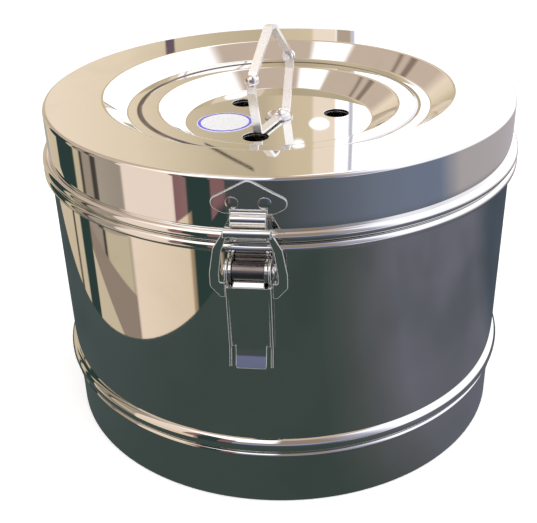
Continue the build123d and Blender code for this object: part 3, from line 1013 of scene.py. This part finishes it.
@dataclass
class Latch(Group):
    """Toggle latch: keeper on the lid, base, roller, lever and link on the body."""

    pieces: tuple[Piece, ...] = (
        ("latch_keeper", "keeper_plate", STAMPED, 0.45),
        ("latch_keeper_rivets", "keeper_rivets", PRESSED, 0.12),
        ("latch_base", "latch_base_plate", PRESSED, 0.2),
        ("latch_base_rivets", "base_rivets", FITTING, 0.12),
        ("latch_pivot_pin", "pivot_pin", FITTING, 0.12),
        # the roller's dark tint is painted shade
        ("latch_roller", "roller", SHADED_ROLLER_STEEL, 0.3),
        ("latch_lever", "lever", STAMPED, 0.32),
        ("latch_link_pins", "link_pins", FITTING, 0.12),
        ("latch_link", "link_frame", STAMPED, 0.35),
    )


@dataclass
class RearHinge(Group):
    """Leaf on the body, leaf on the lid, their rivets and the pin between them."""

    pieces: tuple[Piece, ...] = (
        ("hinge_body_leaf", "body_leaf", PRESSED, 0.22),
        ("hinge_body_rivets", "body_leaf_rivets", FITTING, 0.12),
        ("hinge_lid_leaf", "lid_leaf", PRESSED, 0.22),
        ("hinge_lid_rivets", "lid_leaf_rivets", FITTING, 0.12),
        ("hinge_pin", "hinge_rod", FITTING, 0.12),
    )


@dataclass
class Handle(Group):
    """Folding bail on its bracket, with the pivot that also turns the lid's shutter."""

    pieces: tuple[Piece, ...] = (
        ("handle_bracket", "bail_bracket", BENT, 0.25),
        ("handle_bail", "bail", BENT, 0.35),
        ("handle_rivets", "bail_rivets", FITTING, 0.15),
        ("handle_washer", "pivot_washer", FITTING, 0.15),
        ("vent_bolt", "pivot_bolt", FITTING, 0.15),
        ("vent_shutter", "lid_shutter", SATIN, 0.12),
        ("vent_spring_washer", "lock_washer", FITTING, 0.12),
        ("vent_nut", "pivot_nut", FITTING, 0.2),
    )


# ------------------------------------------------------------------ studio
@dataclass
class Studio:
    """White floor and background, soft lamps, reflection cards and the camera.

    The cards stand round the drum the way a table and a room would. Only reflections see them,
    so the mirror finish has something to show while the picture's ground stays white.
    """

    heading: float = math.radians(6.25)     # direction of the camera from the latch's front
    edge_middle: Flat = (-0.2086, -0.1176)  # point on the table's left edge, in metres
    edge_turn: float = math.radians(-72.44)  # direction of that edge
    far: float = 20.0                       # distance of the room's walls
    level: float = 0.18                     # height from which directions in the room are taken
    table_drop: float = -0.0002             # heights of the table's card and the floor
    floor_drop: float = -0.0005
    floor_half: float = 12.0
    white: Colour = (1.55, 1.55, 1.60)      # glow of windows and lamps
    lens: float = 58.4817
    camera_place: Point = (0.050714, -0.463068, 0.329184)
    camera_turn: Point = (61.19232, 1.47840, 6.43040)   # in degrees

    @staticmethod
    def _sheet(name: str, points: list[Point], faces: list[list[int]],
               material: bpy.types.Material) -> bpy.types.Object:
        """Makes a thin sheet.

        Args:
            name: Name of the sheet.
            points: Its points in metres.
            faces: Its faces.
            material: Its material.

        Returns:
            The new object.
        """
        mesh = bpy.data.meshes.new(name)
        mesh.from_pydata(points, [], faces)
        mesh.materials.append(material)
        return linked(name, mesh)

    @staticmethod
    def _square(half: float, height: float) -> list[Point]:
        """Corners of a level square round the axis, in metres, counter-clockwise."""
        return [(-half, -half, height), (half, -half, height), (half, half, height),
                (-half, half, height)]

    def _card(self, name: str, points: list[Point], faces: list[list[int]],
              material: bpy.types.Material, place: Flat = (0.0, 0.0), turn: float = 0.0) -> None:
        """Makes a card that only reflections see.

        Args:
            name: Name of the card.
            points: Its points in metres.
            faces: Its faces.
            material: Its glow.
            place: Where it stands, in metres, before the studio is turned to its heading.
            turn: Its own turn.
        """
        card = self._sheet(name, points, faces, material)
        card.location = Matrix.Rotation(self.heading, 3, "Z") @ Vector((*place, 0.0))
        card.rotation_euler = (0.0, 0.0, self.heading + turn)
        card.visible_camera = False
        card.visible_diffuse = False
        card.visible_shadow = False
        card.visible_volume_scatter = False

    def room_material(self) -> bpy.types.Material:
        """Walls, windows and ceiling of the room, by direction from the back to the right.

        Returns:
            The glowing material.
        """
        tree = Tree.of_material("room_card")
        place = tree.place()
        turn = tree.maths("DEGREES", tree.maths("ARCTAN2", place.x, place.y))
        above = tree.maths("SUBTRACT", place.z, self.level)
        rise = tree.maths("DEGREES", tree.maths("ARCTAN2", above, place.reach))
        walls = self._back_wall(tree, self._walls(tree, turn), turn, rise)
        behind = tree.both(tree.span(tree.maths("ABSOLUTE", turn), 128.0, 146.0),
                           tree.span(rise, 14.0, 20.0, 1.0, 0.0))
        dusky = tree.mix(tree.span(rise, 0.0, 11.0), (0.07, 0.08, 0.12), (0.36, 0.40, 0.66))
        walls = tree.mix(behind, walls, dusky)
        overhead = tree.mix(tree.span(rise, 65.0, 71.5), walls, (0.66, 0.53, 0.44))
        lamp = tree.both(tree.window(rise, 65.5, 77.5, 3.0), tree.window(turn, -70.0, -38.0, 6.0))
        front = tree.both(tree.window(rise, 32.0, 72.0, 8.0),
                          tree.window(turn, -175.0, -116.0, 6.0))
        return tree.glow(tree.mix(tree.maths("MAXIMUM", lamp, front), overhead, self.white))

    def _walls(self, tree: Tree, turn: bpy.types.NodeSocket) -> bpy.types.NodeSocket:
        """Walls and windows all round, finer straight behind the drum.

        Args:
            tree: The room's nodes.
            turn: Direction from the back to the right, in degrees.

        Returns:
            Their colour.
        """
        brown, dusk, bark = (0.34, 0.27, 0.21), (0.67, 0.54, 0.44), (0.30, 0.23, 0.18)
        lit, cool = (1.25, 1.10, 0.92), (1.25, 1.28, 1.45)
        wide = tree.ramp(turn, -180.0, 180.0, [
            (-180, brown), (-146, brown), (-138, lit), (-100, lit), (-92, dusk), (-40.6, dusk),
            (-40.0, bark), (-38.6, bark), (-38.0, dusk), (-36.0, dusk), (-35.4, bark), (-33.2, bark),
            (-32.6, dusk), (-22, dusk), (-16, (1.00, 0.84, 0.68)), (-10, (0.88, 0.74, 0.55)),
            (10, self.white), (62, self.white), (75, cool), (126, cool), (140, (0.5, 0.5, 0.58)),
            (158, brown), (180, brown),
        ])
        cream, grey = (0.98, 0.83, 0.68), (0.62, 0.62, 0.72)
        near = tree.ramp(turn, -10.0, 10.0, [
            (-10, (0.88, 0.74, 0.55)), (-4, (0.64, 0.54, 0.38)), (-1, (0.60, 0.50, 0.35)),
            (0, (0.70, 0.58, 0.40)), (2.3, (0.74, 0.61, 0.43)), (2.5, cream), (3.9, cream),
            (4.05, self.white), (4.85, self.white), (4.95, grey), (5.15, grey), (5.25, self.white),
            (10, self.white),
        ])
        return tree.mix(tree.window(turn, -9.9, 9.9, 0.1), wide, near)

    def _back_wall(self, tree: Tree, walls: bpy.types.NodeSocket, turn: bpy.types.NodeSocket,
                   rise: bpy.types.NodeSocket) -> bpy.types.NodeSocket:
        """Adds what stands and hangs at the wall straight behind the drum.

        Args:
            tree: The room's nodes.
            walls: Colour of the walls.
            turn: Direction from the back to the right, in degrees.
            rise: Direction upwards, in degrees.

        Returns:
            The walls' new colour.
        """
        post = tree.both(tree.window(turn, -7.5, -6.9, 0.15), tree.window(rise, 12.0, 16.5, 0.5))
        walls = tree.mix(post, walls, (0.16, 0.11, 0.14))
        jamb = tree.both(tree.window(turn, 4.0, 4.95, 0.15), tree.span(rise, 16.6, 17.2, 1.0, 0.0))
        walls = tree.mix(jamb, walls, (0.50, 0.40, 0.31))
        for across, up, wide_by, tall_by in ((2.85, 19.85, 0.72, 0.42), (1.35, 21.15, 0.46, 0.26)):
            dx = tree.maths("DIVIDE", tree.maths("SUBTRACT", turn, across), wide_by)
            dy = tree.maths("DIVIDE", tree.maths("SUBTRACT", rise, up), tall_by)
            out = tree.maths("ADD", tree.maths("MULTIPLY", dx, dx), tree.maths("MULTIPLY", dy, dy))
            walls = tree.mix(tree.span(out, 0.75, 1.25, 1.0, 0.0), walls, self.white)
        cable = tree.maths("SUBTRACT", rise, tree.maths("MULTIPLY_ADD", turn, 0.6, 24.1))
        cable = tree.both(tree.window(cable, -0.12, 0.12, 0.1), tree.window(turn, -5.3, -1.9, 0.3))
        return tree.mix(cable, walls, (0.09, 0.07, 0.06))

    def ground_material(self) -> bpy.types.Material:
        """Dark table top and what lies past it, by direction from the front to the right.

        Returns:
            The glowing material.
        """
        tree = Tree.of_material("table_card")
        place = tree.place()
        forward = tree.maths("MULTIPLY", place.y, -1.0)
        turn = tree.maths("DEGREES", tree.maths("ARCTAN2", place.x, forward))
        table, slate = (0.055, 0.078, 0.071), (0.165, 0.170, 0.210)
        top = tree.ramp(turn, -180.0, 180.0, [
            (-180, (0.08, 0.10, 0.105)), (-90, (0.075, 0.10, 0.10)), (-45, (0.062, 0.085, 0.080)),
            (-15, table), (14, table), (24, (0.080, 0.095, 0.090)), (38, (0.13, 0.135, 0.155)),
            (46, slate), (90, slate), (105, (0.075, 0.095, 0.125)), (180, (0.08, 0.10, 0.12)),
        ])
        cloth = tree.noise(place.whole, 6.0, 2.0)
        top = tree.mix(tree.span(cloth, 0.35, 0.75, 0.0, 0.35), top, (0.03, 0.045, 0.045))
        beyond = tree.ramp(turn, -180.0, 180.0, [
            (-180, (0.40, 0.38, 0.40)), (-130, (0.45, 0.42, 0.38)), (-60, (0.06, 0.085, 0.075)),
            (0, (0.07, 0.08, 0.085)), (40, (0.17, 0.20, 0.27)), (70, (0.19, 0.23, 0.33)),
            (82, (0.46, 0.43, 0.44)), (140, (0.50, 0.46, 0.50)), (180, (0.40, 0.38, 0.40)),
        ])
        colour = tree.mix(tree.span(place.reach, 0.43, 0.46), top, beyond)
        bright = tree.both(tree.span(place.reach, 0.75, 1.1), tree.window(turn, 26.0, 150.0, 12.0))
        return tree.glow(tree.mix(bright, colour, (1.0, 0.95, 0.97)))

    def left_material(self) -> bpy.types.Material:
        """Furniture along the table's left edge: upright strips, by place and height.

        Returns:
            The glowing material.
        """
        tree = Tree.of_material("left_card")
        place = tree.place()
        along, height = place.x, place.z
        tan, dark, green = (0.68, 0.57, 0.41), (0.07, 0.06, 0.05), (0.030, 0.055, 0.050)
        wood, buff, peach = (0.38, 0.31, 0.25), (0.62, 0.53, 0.37), (0.97, 0.79, 0.64)
        maroon = (0.28, 0.14, 0.15)
        low = tree.ramp(along, -0.5, 0.3, [
            (-0.157, tan), (-0.153, dark), (-0.145, dark), (-0.142, tan), (-0.117, tan),
            (-0.113, green), (-0.080, green), (-0.076, wood), (-0.044, wood), (-0.041, dark),
            (-0.037, dark), (-0.034, buff), (0.014, buff), (0.017, wood), (0.020, peach),
            (0.137, (0.84, 0.68, 0.50)), (0.139, (0.42, 0.30, 0.19)), (0.146, (0.42, 0.30, 0.19)),
            (0.148, green), (0.30, green),
        ])
        rim = tree.maths("MULTIPLY_ADD", tree.maths("SUBTRACT", 0.018, along), 0.43, 0.034)
        shade = tree.both(tree.window(along, -0.076, 0.018, 0.003),
                          tree.below(tree.maths("SUBTRACT", height, rim), 0.0, 0.002))
        low = tree.mix(shade, low, (0.33, 0.26, 0.21))
        slant = tree.maths("MULTIPLY_ADD", tree.maths("SUBTRACT", 0.05, height), 1.05, -0.072)
        flank = tree.both(tree.window(along, -0.079, 0.018, 0.003),
                          tree.below(tree.maths("SUBTRACT", along, slant), 0.0, 0.002))
        low = tree.mix(flank, low, tan)
        high = tree.ramp(along, -0.5, 0.3, [
            (-0.215, tan), (-0.205, green), (-0.108, green), (-0.103, buff), (-0.086, buff),
            (-0.083, dark), (-0.077, dark), (-0.074, wood), (-0.054, wood), (-0.051, dark),
            (-0.041, dark), (-0.038, (0.44, 0.38, 0.31)), (0.012, (0.38, 0.32, 0.27)),
            (0.016, (0.98, 0.82, 0.71)), (0.109, (0.98, 0.81, 0.70)), (0.112, maroon),
            (0.137, (0.30, 0.17, 0.17)), (0.141, green), (0.199, green), (0.203, maroon),
            (0.245, maroon), (0.255, green),
        ])
        step = tree.span(along, 0.15, 0.20, 0.078, 0.055)
        level = tree.span(tree.maths("SUBTRACT", height, step), -0.001, 0.001)
        return tree.glow(tree.mix(level, low, high))

    def cards(self) -> None:
        """Builds the table card, the card along its left edge and the room round them."""
        far, whole = self.far, [[0, 1, 2, 3]]
        self._card("table_card", self._square(far, self.table_drop), whole, self.ground_material())
        back, front, tall = -1.2, 0.25, 0.25    # ends of the left card along its edge, and height
        upright = [(back, 0.0, 0.0), (front, 0.0, 0.0), (front, 0.0, tall), (back, 0.0, tall)]
        self._card("left_card", upright, whole, self.left_material(), self.edge_middle,
                   self.edge_turn)
        rings, around = 24, 48
        points = [(far * math.cos(e) * math.cos(a), far * math.cos(e) * math.sin(a),
                   far * math.sin(e))
                  for e in (math.pi / 2 * i / rings for i in range(rings))
                  for a in (2 * math.pi * k / around for k in range(around))]
        faces = [[i * around + k, i * around + (k + 1) % around,
                  (i + 1) * around + (k + 1) % around, (i + 1) * around + k]
                 for i in range(rings - 1) for k in range(around)]
        crown = [(rings - 1) * around + k for k in range(around)]
        self._card("room_card", points, [*faces, crown], self.room_material())

    def floor(self) -> None:
        """Builds the pale floor, white to the camera but for the drum's soft shadow."""
        tree = Tree.of_material("pale_floor")
        grain = tree.noise(tree.place().whole, 3.0, 2.0)
        pale = tree.mix(tree.maths("MULTIPLY", grain, 0.05), (0.84, 0.84, 0.84), (0.80, 0.80, 0.80))
        lit = tree.add("BsdfDiffuse", {0: pale}).outputs[0]
        strength = tree.maths("MULTIPLY", tree.sharply_seen(), 0.45)
        glow = tree.add("Emission", {0: (1.0, 1.0, 1.0, 1.0), 1: strength}).outputs[0]
        material = tree.finish(tree.add("AddShader", {0: lit, 1: glow}))
        corners = self._square(self.floor_half, self.floor_drop)
        floor = self._sheet("floor", corners, [[0, 1, 2, 3]], material)

    def sky(self) -> None:
        """Sets the even white surroundings, dimmer for the light that they cast."""
        world = bpy.data.worlds.new("white_surroundings")
        bpy.context.scene.world = world
        tree = Tree(world)
        level = tree.maths("MULTIPLY_ADD", tree.sharply_seen(), 0.55, 0.45)
        background = tree.add("Background", {0: (1.0, 1.0, 1.0, 1.0), 1: level})
        tree.add("OutputWorld", {0: background.outputs[0]})

    def lamps(self) -> None:
        """Hangs two soft panels: a large one overhead and a smaller one at the front left."""
        aim = Vector((0.0, 0.0, 0.1))
        for name, place, size, watts in (
            ("overhead_panel", (0.3, -0.3, 1.5), 1.6, 16.0),
            ("front_panel", (-1.1, -1.3, 1.0), 1.0, 7.0),
        ):
            data = bpy.data.lights.new(name, "AREA")
            data.shape, data.size, data.energy = "SQUARE", size, watts
            lamp = linked(name, data)
            lamp.location = place
            lamp.rotation_euler = (aim - Vector(place)).to_track_quat("-Z", "Y").to_euler()
            lamp.visible_glossy = False

    def camera(self) -> None:
        """Places the camera at the photograph's view."""
        data = bpy.data.cameras.new("view")
        data.sensor_width, data.lens = 36.0, self.lens
        data.clip_start, data.clip_end = 0.01, 50.0
        camera = linked("view", data)
        camera.location = self.camera_place
        camera.rotation_euler = [math.radians(angle) for angle in self.camera_turn]
        bpy.context.scene.camera = camera

    def build(self) -> None:
        """Builds the whole studio."""
        self.floor()
        self.cards()
        self.sky()
        self.lamps()
        self.camera()
        bpy.context.scene.view_settings.view_transform = "Standard"


def main() -> None:
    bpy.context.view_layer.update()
    for part in (DrumBody(), Lid(), Handle(), Latch(), RearHinge(), Studio()):
        LOG.info("building %s", type(part).__name__)
        part.build()


if __name__ == "__main__":
    logging.basicConfig(level=logging.INFO, format="%(name)s: %(message)s")
    main()
